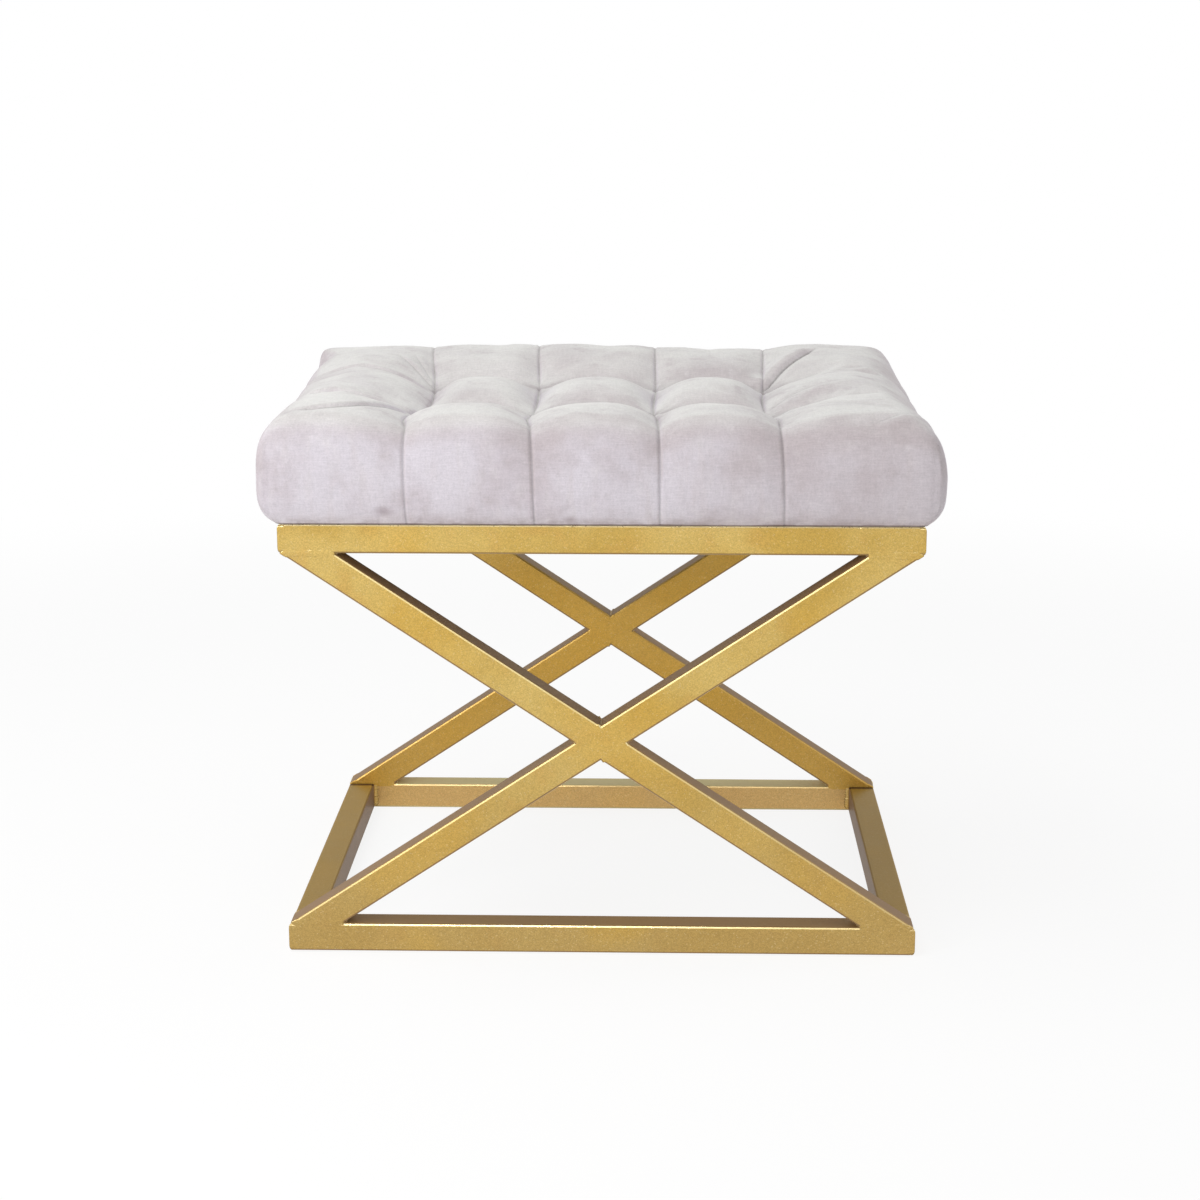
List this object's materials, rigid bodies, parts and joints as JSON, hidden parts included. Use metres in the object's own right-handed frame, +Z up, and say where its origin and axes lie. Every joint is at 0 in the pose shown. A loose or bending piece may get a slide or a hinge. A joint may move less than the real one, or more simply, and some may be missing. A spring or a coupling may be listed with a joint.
{
  "type": "tufted bench pouf",
  "caption": "Biscuit-tufted velvet pouf on a welded X frame of square steel tube, for sitting on or resting the feet.",
  "frame": {"origin": "on the floor under the middle of the pouf", "axes": "+X along the width, towards the right-hand end as seen from the front; +Y from front to back; +Z up"},
  "size_m": [0.5, 0.4, 0.42],
  "materials": {
    "gold_paint": "satin",
    "velvet": "matte",
    "foam": "matte",
    "fleece": "matte",
    "plywood": "matte",
    "black_cloth": "matte",
    "twine": "matte",
    "zinc": "satin"
  },
  "bodies": {
    "root": {"front_top_rail": "gold_paint", "front_bottom_rail": "gold_paint", "front_through_brace": "gold_paint", "front_upper_half_brace": "gold_paint", "front_lower_half_brace": "gold_paint", "rear_top_rail": "gold_paint", "rear_bottom_rail": "gold_paint", "rear_through_brace": "gold_paint", "rear_upper_half_brace": "gold_paint", "rear_lower_half_brace": "gold_paint", "left_bottom_side_rail": "gold_paint", "right_bottom_side_rail": "gold_paint", "left_top_side_rail": "gold_paint", "right_top_side_rail": "gold_paint", "front_top_left_cap": "gold_paint", "front_top_right_cap": "gold_paint", "front_bottom_left_cap": "gold_paint", "front_bottom_right_cap": "gold_paint", "rear_top_left_cap": "gold_paint", "rear_top_right_cap": "gold_paint", "rear_bottom_left_cap": "gold_paint", "rear_bottom_right_cap": "gold_paint", "velvet_cover": "velvet", "wadding": "fleece", "foam_pad": "foam", "seat_board": "plywood", "dust_cloth": "black_cloth", "tuft_tie_1": "twine", "tuft_tie_2": "twine", "tuft_tie_3": "twine", "tuft_tie_4": "twine", "tuft_tie_5": "twine", "tuft_tie_6": "twine", "tuft_tie_7": "twine", "tuft_tie_8": "twine", "tuft_washer_1": "zinc", "tuft_washer_2": "zinc", "tuft_washer_3": "zinc", "tuft_washer_4": "zinc", "tuft_washer_5": "zinc", "tuft_washer_6": "zinc", "tuft_washer_7": "zinc", "tuft_washer_8": "zinc", "seat_screw_1": "zinc", "seat_screw_2": "zinc", "seat_screw_3": "zinc", "seat_screw_4": "zinc"}
  },
  "joints": []
}
